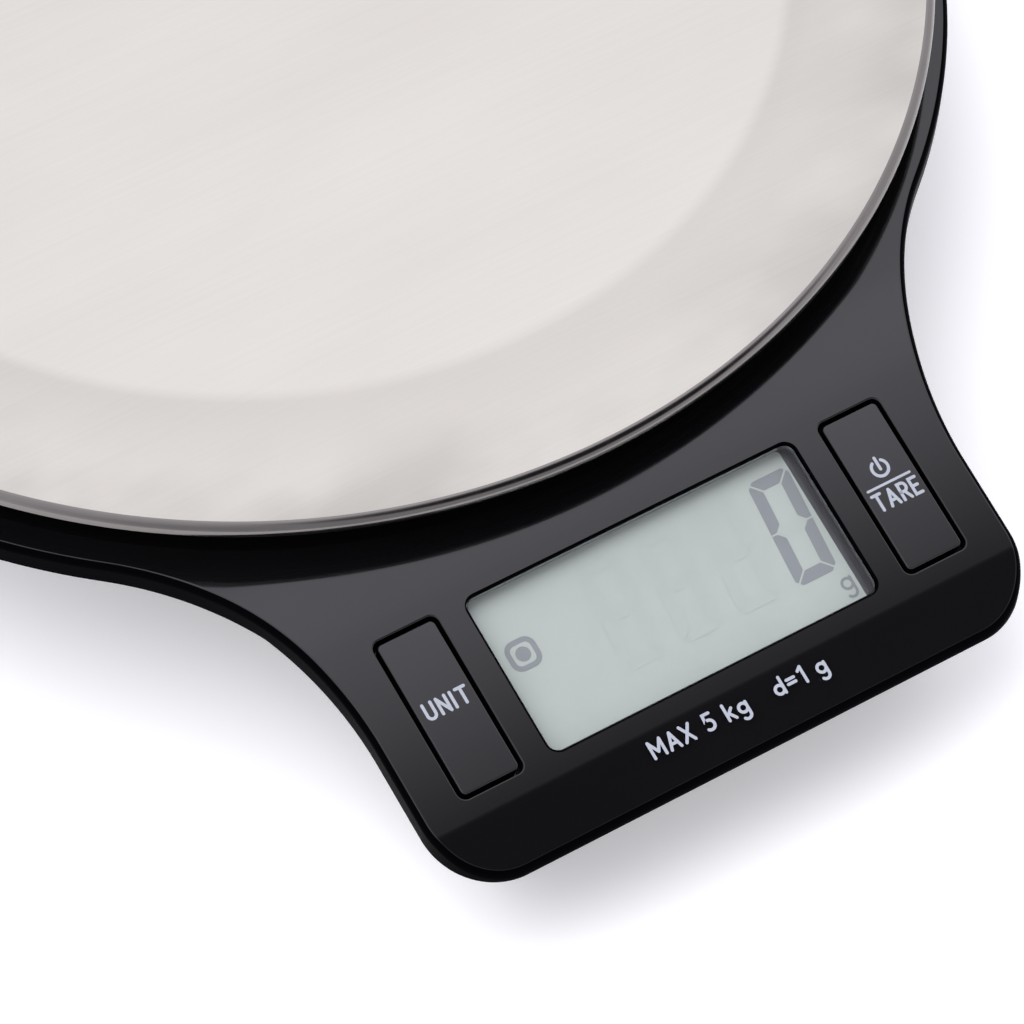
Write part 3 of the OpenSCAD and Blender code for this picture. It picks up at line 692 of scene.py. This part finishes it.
def crown(r):
    """Height and slope of the raised middle at a radius, above the sheet's outer ring."""
    t = np.clip((r - CROWN_R) / CROWN_RUN, 0, 1)
    return CROWN_H * (1 - t) ** 2, 2 * CROWN_H * (1 - t) * (t > 0) / CROWN_RUN


def platter_plate():
    """Sheet turned about the axis from rows of radius, height, and the normal's parts out and up."""
    edge_z = PLATE_TOP - CROWN_H
    bend_at = PLATE_R - BEND_R
    foot_z = edge_z - PLATE_RIM
    nib = PLATE_T / 2
    inner_r = BEND_R - PLATE_T
    slopes = np.linspace(CROWN_R + 0.5, CROWN_R + CROWN_RUN, 12)
    radii = [1, 30, CROWN_R - 0.4, *slopes, bend_at]
    rows = [(r, edge_z + crown(r)[0], crown(r)[1], 1) for r in radii]
    turn = [(bend_at + BEND_R * s, edge_z - BEND_R * (1 - c), s, c) for s, c in quarter(10)]
    turn += [(PLATE_R, foot_z + nib, 1, 0)]
    turn += [(PLATE_R - nib * (1 - c), foot_z + nib * (1 - s), c, -s) for s, c in quarter(4)[1:]]
    turn += [(PLATE_R - nib * (1 + s), foot_z + nib * (1 - c), -s, -c) for s, c in quarter(4)[1:]]
    turn += [(bend_at + inner_r * s, edge_z - BEND_R + inner_r * c, -s, -c) for s, c in quarter(4)[::-1]]
    under = [(r, edge_z - PLATE_T + crown(r)[0], -crown(r)[1], -1) for r in radii[::-1]]

    skin = Skin()
    directions = circle(1, step=1.0)[0]

    def ring(row):
        r, z, out, up = row
        return LEVEL.at(r * directions, z), LEVEL.way(out * directions, up)

    # The turn at the rim takes the darker rim steel, painted shade
    for paint, part in ((0, rows), (1, turn), (0, under)):
        skin.paint = paint
        skin.loft([ring(row) for row in part])
    skin.fill(*ring(rows[0]))
    skin.fill(*ring(under[-1]))
    piece = skin.piece("platter_sheet", "platter", [STEEL, RIM_STEEL_PAINTED_SHADE], "platter_steel")
    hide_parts("platter_plate")


platter_plate()

# ---------- Keys and window ----------


def key(name, x):
    """Key cap with a flange under the panel and a stem that reaches its switch."""
    skin = Skin()
    cap = round_box(KEY_HOLE[0] - 2 * KEY_GAP, KEY_HOLE[1] - 2 * KEY_GAP, KEY_R, x)
    flange = round_box(FLANGE_W, FLANGE_L, KEY_R, x)
    flange_foot = -FLANGE_DEPTH - FLANGE_T
    # The key's sides take the darker side copy: painted shade that keeps the gap round the cap black
    skin.slab(ROW, cap, 0.0, -FLANGE_DEPTH, KEY_SOFT, side_paint=1, crowned=True)
    skin.slab(ROW, flange, -FLANGE_DEPTH, flange_foot, side_paint=1)
    skin.slab(ROW, circle(STEM_R, x), flange_foot, -STEM_DEPTH, side_paint=1)
    piece = skin.piece(name + "_cap", name, [KEY_GLOSS_PAINTED_LIGHT, SIDE_PAINTED_SHADE], "black_gloss")
    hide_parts(name)


key("unit_key", -KEY_X)
key("tare_key", KEY_X)


def window_lens():
    """Clear window with bright edges, and a flange that is taped into its seat."""
    skin = Skin()
    seat = LENS_FLANGE_T - LENS_FOOT
    middle = round_box(WINDOW_W - 2 * LENS_GAP, WINDOW_L - 2 * LENS_GAP, WINDOW_R - LENS_GAP)
    flange = round_box(WINDOW_W + LENS_FLANGE, WINDOW_L + LENS_FLANGE, LENS_FLANGE_R)
    skin.lid(ROW, middle, -LENS_SINK, LENS_SOFT, ROW.normals(middle[0]))
    skin.paint = 1
    skin.wall(ROW, middle, -LENS_SINK - LENS_SOFT, seat)
    skin.wall(ROW, flange, seat, -LENS_FOOT)
    skin.paint = 0
    skin.ledge(ROW, middle[0], flange[0], seat, 1)
    skin.fill(ROW.at(flange[0], -LENS_FOOT), -ROW.normals(flange[0]))
    piece = skin.piece("window_lens_clear", "body", [LENS, LENS_EDGE], "clear_lens")
    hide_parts("window_lens")


window_lens()

# ---------- Legends ----------

STROKE = 0.37
INK = 0.03
# Each stroke of a character stands this much above the one before, so that crossings stay clean
STROKE_STEP = 0.003


def bow(x, y, r, start, end):
    """Points along an arc of a letter."""
    return [tuple(point) for point in arc(x, y, r, start, end, 15)[0]]


# Strokes of each character, where 1 is the height of a capital, and the room that it takes
GLYPHS = {
    "U": ([[(0, 1), *bow(0.27, 0.27, 0.27, 180, 360), (0.54, 1)]], 0.54),
    "N": ([[(0, 0), (0, 1)], [(0, 1), (0.56, 0)], [(0.56, 0), (0.56, 1)]], 0.56),
    "I": ([[(0, 0), (0, 1)]], 0.0),
    "T": ([[(0, 1), (0.6, 1)], [(0.3, 1), (0.3, 0)]], 0.6),
    "A": ([[(0, 0), (0.32, 1)], [(0.32, 1), (0.64, 0)], [(0.11, 0.32), (0.53, 0.32)]], 0.64),
    "R": ([[(0, 0), (0, 1), *bow(0.26, 0.74, 0.26, 90, -90), (0, 0.48)], [(0.26, 0.48), (0.54, 0)]], 0.54),
    "E": ([[(0.48, 1), (0, 1), (0, 0), (0.48, 0)], [(0, 0.52), (0.4, 0.52)]], 0.48),
    "M": ([[(0, 0), (0, 1)], [(0, 1), (0.38, 0.3)], [(0.38, 0.3), (0.76, 1)], [(0.76, 1), (0.76, 0)]], 0.76),
    "X": ([[(0, 1), (0.6, 0)], [(0, 0), (0.6, 1)]], 0.6),
    "1": ([[(0.02, 0.8), (0.26, 1)], [(0.26, 1), (0.26, 0)]], 0.26),
    "5": ([[(0.52, 1), (0.1, 1), (0.07, 0.58), *bow(0.25, 0.32, 0.3, 105, -130)]], 0.56),
    "k": ([[(0, 0), (0, 1)], [(0.42, 0.66), (0, 0.26)], [(0.16, 0.4), (0.46, 0)]], 0.46),
    "g": ([bow(0.27, 0.34, 0.27, 0, 360), [(0.54, 0.62), *bow(0.27, -0.1, 0.27, 0, -140)]], 0.54),
    "d": ([bow(0.27, 0.3, 0.27, 0, 360), [(0.54, 1), (0.54, 0)]], 0.54),
    "=": ([[(0, 0.62), (0.5, 0.62)], [(0, 0.34), (0.5, 0.34)]], 0.5),
    " ": ([], 0.18),
}


def ribbon(skin, line, width, lift=0.0):
    """Flat stroke along a line, standing INK proud of lift: a ring, or a stroke with round ends."""
    line = np.array(line, float)
    closed = np.allclose(line[0], line[-1])
    steps = np.diff(line, axis=0)
    steps /= np.linalg.norm(steps, axis=1, keepdims=True)
    sides = np.stack([-steps[:, 1], steps[:, 0]], 1)
    before = np.concatenate([sides[-1:] if closed else sides[:1], sides])
    after = np.concatenate([sides, sides[:1] if closed else sides[-1:]])
    across = (before + after) / (1 + np.sum(before * after, 1, keepdims=True))
    up = ROW.normals(line)
    skin.loft([(ROW.at(line + side * across * width / 2, lift + INK), up) for side in (1, -1)], closed=False)
    if closed:
        return
    for end, facing in ((line[0], -steps[0]), (line[-1], steps[-1])):
        start = math.degrees(math.atan2(facing[1], facing[0])) - 90
        cap = arc(*end, width / 2, start, start + 180, 20)[0]
        skin.fill(ROW.at(cap, lift + INK), ROW.normals(cap))


def lettering(skin, text, x, y, height, gap=0.0, stroke=STROKE, narrow=1.0, lift=0.0):
    """Writes text from x to the right, on the line y."""
    for character in text:
        strokes, width = GLYPHS[character]
        for number, line in enumerate(strokes):
            ribbon(skin, [(x + px * height * narrow, y + py * height) for px, py in line], stroke,
                   lift + number * STROKE_STEP)
        x += width * height * narrow + gap


def legends():
    """Printed words: one on each key, the on/off sign above a line, and the capacity below the display."""
    unit = Skin()
    lettering(unit, "UNIT", x=-31.1, y=-0.46, height=1.84, gap=0.69)
    unit.piece("unit_legend", "unit_key", [LEGEND])

    tare = Skin()
    lettering(tare, "TARE", x=25.8, y=-2.14, height=1.95, gap=0.58, narrow=0.88)
    ribbon(tare, [(25.75, 0.52), (31.25, 0.52)], width=0.3)
    sign_x = 28.5
    ribbon(tare, bow(sign_x, 2.4, 0.98, 125, 415), STROKE)
    ribbon(tare, [(sign_x, 3.7), (sign_x, 2.25)], STROKE)
    tare.piece("tare_legend", "tare_key", [LEGEND])

    caption = Skin()
    lettering(caption, "MAX 5 kg   d=1 g", x=-11.4, y=-15.4, height=1.9, gap=0.66, stroke=0.36)
    caption.piece("capacity_legend", "body", [LEGEND])


legends()

# ---------- Display ----------

INK_LIFT = -POLARISER_DEPTH
DIGIT_W = 5.5
DIGIT_H = 13.3
DIGIT_X = 13.6
DIGIT_Y = -5.2
DIGIT_PITCH = 7.4
BAR = 1.68
BAR_GAP = 0.11
BAR_CUT = 0.8
LEAN = 0.079
ICON = (-17.5, 2.1)
ICON_SIZE = (3.15, 3.1, 1.0)
ICON_LINE = 0.62
ICON_DOT_R = 0.88
MASK_MARGIN = 1.0
MASK_OPENING = (WINDOW_W - 1.1, WINDOW_L + 0.1, 0.6)
MASK_OPENING_AT = (-0.45, 0.05)
MASK_TOP = INK_LIFT + 0.1
MASK_FOOT = INK_LIFT + 0.01


def flip(shape, across, along):
    """A bar's shape, mirrored within its digit."""
    flipped = [(DIGIT_W - x if across else x, DIGIT_H - y if along else y) for x, y in shape]
    return flipped if across == along else flipped[::-1]


def digit_bars():
    """The outlines of a digit's seven bars, each anticlockwise."""
    w, h, t, cut, middle = DIGIT_W, DIGIT_H, BAR, BAR_CUT, DIGIT_H / 2
    top = [(w - cut, h), (cut, h), (cut / 2, h - cut / 2),
           (t, h - t), (w - t, h - t), (w - cut / 2, h - cut / 2)]
    left = [(cut / 2, h - cut / 2), (0, h - cut), (0, middle),
            (t / 2, middle), (t, middle + t / 2), (t, h - t)]
    centre = [(t / 2, middle), (t, middle - t / 2), (w - t, middle - t / 2), (w - t / 2, middle),
              (w - t, middle + t / 2), (t, middle + t / 2)]
    return {"a": top, "b": flip(left, True, False), "c": flip(left, True, True), "d": flip(top, False, True),
            "e": flip(left, False, True), "f": left, "g": centre}


def patch(skin, shape, lift=INK_LIFT):
    """Thin convex patch of ink, anticlockwise."""
    skin.fill(ROW.at(shape, lift + INK), ROW.normals(shape))


def digit(skin, x, names):
    """Named bars of the digit at x, drawn in from their outlines and leant over."""
    for name in names:
        shape = np.array(digit_bars()[name], float)
        steps = np.roll(shape, -1, 0) - shape
        steps /= np.linalg.norm(steps, axis=1, keepdims=True)
        inward = np.stack([-steps[:, 1], steps[:, 0]], 1)
        before = np.roll(inward, 1, 0)
        shape += BAR_GAP * (inward + before) / (1 + np.sum(inward * before, 1, keepdims=True))
        patch(skin, shape @ np.array([[1, 0], [LEAN, 1]]) + np.array([x, DIGIT_Y]))


def display():
    """Lit digit, unit and framed dot, the faint bars that aren't lit, and the dark mask round them."""
    lit = Skin()
    digit(lit, DIGIT_X, "abcdef")
    lettering(lit, "g", x=18.3, y=-7.9, height=2.3, stroke=0.34, lift=INK_LIFT)
    frame_line = round_box(*ICON_SIZE, *ICON)[0]
    ribbon(lit, [*frame_line, frame_line[0]], ICON_LINE, INK_LIFT)
    patch(lit, circle(ICON_DOT_R, *ICON)[0])
    lit.piece("display_segments", "body", [SEGMENT])

    faint = Skin()
    for steps_left in (3, 2, 1):
        digit(faint, DIGIT_X - steps_left * DIGIT_PITCH, "abcdefg")
    digit(faint, DIGIT_X, "g")
    faint.piece("display_ghosts", "body", [GHOST])

    mask = Skin()
    outer = round_box(WINDOW_W + 2 * MASK_MARGIN, WINDOW_L + 2 * MASK_MARGIN, 1)
    opening = round_box(*MASK_OPENING, *MASK_OPENING_AT)
    mask.ledge(ROW, outer[0], opening[0], MASK_TOP, 1)
    mask.wall(ROW, opening, MASK_TOP, MASK_FOOT, -1)
    mask.ledge(ROW, opening[0], outer[0], MASK_FOOT, -1)
    mask.wall(ROW, outer, MASK_FOOT, MASK_TOP)
    mask.piece("display_mask", "body", [MASK])


display()

# ---------- Finishes of the CAD pieces ----------

NODE_FINISHES = {
    SATIN: ["lower_housing", "platter_tray", "battery_door", "lcd_frame", "lens_tape"],
    metal("zinc_plate", srgb(196, 200, 204), 0.32, 0.3, 3): [
        "tray_screws", "spider_screws", "base_screws", "housing_screws", "board_screws", "overload_stop"],
    metal("zinc_sheet", srgb(186, 190, 194), 0.36, 0.5, 12): ["load_spider", "spider_spacer", "base_spacer"],
    metal("contact_steel", srgb(206, 205, 200), 0.26, 0.2, 2): ["battery_springs", "battery_plates"],
    DISPLAY: ["lcd_polariser"],
    plain("display_back", srgb(200, 204, 198), 0.5, 1.0, 0.002, 0.94): ["lcd_reflector"],
    plain("display_glass", srgb(170, 182, 178), 0.12, 2.0, 0.0005, 0.95): ["lcd_glass"],
    plain("cell_jacket", srgb(38, 84, 142), 0.28, 3.0, 0.002, 0.85, Coat_Weight=0.6): ["battery_cells"],
    plain("red_insulation", srgb(176, 34, 30), 0.4, 0.6, 0.003): ["gauge_wires"],
    plain("black_insulation", (0.012, 0.012, 0.014), 0.42, 0.6, 0.003): ["battery_wires"],
    plain("foot_rubber", srgb(62, 63, 65), 0.75, 0.35, 0.02): ["rubber_feet"],
    plain("contact_rubber", srgb(216, 167, 180), 0.6, 0.4, 0.004): ["zebra_strips"],
    plain("solder_mask", srgb(26, 104, 56), 0.3, 1.4, 0.004): ["main_board"],
    plain("chip_resin", (0.01, 0.01, 0.01), 0.22, 2.0, 0.01): ["chip_cover"],
    plain("board_parts", srgb(190, 158, 108), 0.45, 0.5, 0.004): ["board_parts"],
    plain("switch_black", (0.02, 0.02, 0.022), 0.5, 0.3, 0.006): ["switch_bodies"],
    plain("switch_button", srgb(222, 221, 214), 0.45, 0.4, 0.004): ["unit_plunger", "tare_plunger"],
}


def dress(node, finish, edge=0.12):
    """Gives a CAD piece its finish, softens its edges and smooths its curves."""
    thing = frame["nodes"][node]
    thing.data.materials.clear()
    thing.data.materials.append(finish)
    thing.data.polygons.foreach_set("use_smooth", [True] * len(thing.data.polygons))
    weld = thing.modifiers.new("weld", "WELD")
    weld.merge_threshold = 1e-6
    bevel = thing.modifiers.new("edges", "BEVEL")
    bevel.width = edge * MM
    bevel.segments = 2
    bevel.limit_method = "ANGLE"
    bevel.angle_limit = math.radians(35)
    thing.modifiers.new("shading", "WEIGHTED_NORMAL")


for finish, nodes in NODE_FINISHES.items():
    for node in nodes:
        dress(node, finish)

# Where the beam bends, as parts of the way from its fixed end to its free end
BEAM_BENDS = (0.3, 0.7)


def bent(node, finish, cuts=12):
    """Copy of a CAD piece, cut across many times where the beam bends."""
    fixed, free = (Vector(sum(cad_box(spacer)) / 2) * MM for spacer in ("base_spacer", "spider_spacer"))
    free.z = fixed.z
    start, end = (fixed.lerp(free, part) for part in BEAM_BENDS)
    shape = bmesh.new()
    shape.from_mesh(frame["nodes"][node].data)
    for cut in range(cuts + 1):
        geometry = [*shape.verts, *shape.edges, *shape.faces]
        middle = start.lerp(end, cut / cuts)
        bmesh.ops.bisect_plane(shape, geom=geometry, dist=1e-7, plane_co=middle, plane_no=end - start)
    mesh = bpy.data.meshes.new(node + "_bent")
    shape.to_mesh(mesh)
    shape.free()
    mesh.materials.clear()
    mesh.materials.append(finish)
    mesh.polygons.foreach_set("use_smooth", [True] * len(mesh.polygons))
    mesh.set_sharp_from_angle(angle=math.radians(30))
    piece = bpy.data.objects.new(node + "_bent", mesh)
    bpy.context.scene.collection.objects.link(piece)
    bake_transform(piece)
    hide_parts(node)


bent("load_cell", metal("milled_aluminium", srgb(214, 216, 219), 0.3, (8, 0.12, 8), 20))
bent("gauge_seals", plain("white_sealant", srgb(236, 234, 226), 0.55, 0.8, 0.03, 0.94))

# ---------- Floor, light and camera ----------


def place(name, data):
    """Adds an object to the scene that isn't part of the scale."""
    thing = bpy.data.objects.new(name, data)
    bpy.context.scene.collection.objects.link(thing)
    return thing


def floor():
    """White floor, six metres across, lit from within a little so that it stays white."""
    half = 3.0
    corners = [(-half, -half, 0), (half, -half, 0), (half, half, 0), (-half, half, 0)]
    mesh = bpy.data.meshes.new("floor")
    mesh.from_pydata(corners, [], [(0, 1, 2, 3)])
    pale = Finish("pale_floor", (0.93, 0.93, 0.93), 0.6, Specular_IOR_Level=0.2)
    pale.tint(pale.scaled(pale.noise(300, 2), 0, 1), (0.915, 0.915, 0.918))
    pale.set("Emission Color", (1, 1, 1, 1))
    pale.set("Emission Strength", 0.28)
    mesh.materials.append(pale.material)
    place("floor", mesh)


def away(azimuth, elevation):
    """Direction from the scale, azimuth 0 being its front and 90 its right."""
    azimuth, elevation = math.radians(azimuth), math.radians(elevation)
    return Vector((math.sin(azimuth) * math.cos(elevation), -math.cos(azimuth) * math.cos(elevation),
                   math.sin(elevation)))


def softbox(name, direction, distance, size, power):
    """Square light that faces the scale and that mirrors don't show, in metres and watts."""
    light = bpy.data.lights.new(name, "AREA")
    light.shape = "SQUARE"
    light.size = size
    light.energy = power
    lamp = place(name, light)
    lamp.location = direction * distance
    lamp.rotation_euler = direction.to_track_quat("Z", "Y").to_euler()
    lamp.visible_glossy = False


def surroundings():
    """Pale studio, brightest above the far side and dark in front, for the gloss to mirror."""
    world = bpy.data.worlds.new("studio")
    bpy.context.scene.world = world
    world.use_nodes = True
    tree = world.node_tree
    background = tree.nodes["Background"]
    background.inputs["Color"].default_value = (0.98, 0.96, 1.05, 1)
    around = tree.nodes.new("ShaderNodeTexCoord").outputs["Generated"]

    def lobe(direction, edge, core, value):
        """Grows smoothly from 0 at edge degrees off a direction to value at core degrees."""
        dot = tree.nodes.new("ShaderNodeVectorMath")
        dot.operation = "DOT_PRODUCT"
        dot.inputs[1].default_value = Vector(direction).normalized()
        tree.links.new(around, dot.inputs[0])
        ramp = tree.nodes.new("ShaderNodeMapRange")
        ramp.interpolation_type = "SMOOTHSTEP"
        ramp.inputs["From Min"].default_value = math.cos(math.radians(edge))
        ramp.inputs["From Max"].default_value = math.cos(math.radians(core))
        ramp.inputs["To Max"].default_value = value
        tree.links.new(dot.outputs["Value"], ramp.inputs["Value"])
        return ramp.outputs["Result"]

    def combine(operation, a, b):
        node = tree.nodes.new("ShaderNodeMath")
        node.operation = operation
        for source, target in zip((a, b), node.inputs):
            if isinstance(source, float):
                target.default_value = source
            else:
                tree.links.new(source, target)
        return node.outputs["Value"]

    # Two bright places overhead, and two dark ones towards the front
    glow = lobe((0.25, 0.5, 0.83), 42, 5, 0.25)
    streak = lobe((0.308, 0.294, 0.905), 15, 2, 0.32)
    high_gap = lobe((0.308, -0.49, 0.816), 35, 16, 0.96)
    low_gap = lobe((-0.15, -0.85, 0.45), 54, 18, 0.4)
    dark = combine("SUBTRACT", 1.0, combine("MAXIMUM", high_gap, low_gap))
    light = combine("MULTIPLY", combine("ADD", 1.25, combine("ADD", glow, streak)), dark)
    tree.links.new(light, background.inputs["Strength"])


def camera():
    """Long lens above the front left corner."""
    spot = Vector((-196.5, -338.8, 522.1)) * MM
    target = Vector((-12.74, -63.16, 26.0)) * MM
    back = (spot - target).normalized()
    level = Vector((0, 0, 1)).cross(back).normalized()
    roll = math.radians(3)
    right = math.cos(roll) * level + math.sin(roll) * back.cross(level)
    data = bpy.data.cameras.new("camera")
    data.sensor_width = 36
    data.lens = 192.4
    data.shift_x = 0.01504
    data.shift_y = 0.00256
    thing = place("camera", data)
    thing.matrix_world = Matrix((right, back.cross(right), back)).transposed().to_4x4()
    thing.location = spot
    bpy.context.scene.camera = thing


floor()
surroundings()
softbox("fill_light", away(-120, 62), distance=1.6, size=1.6, power=15)
camera()
bpy.context.scene.view_settings.view_transform = "Standard"
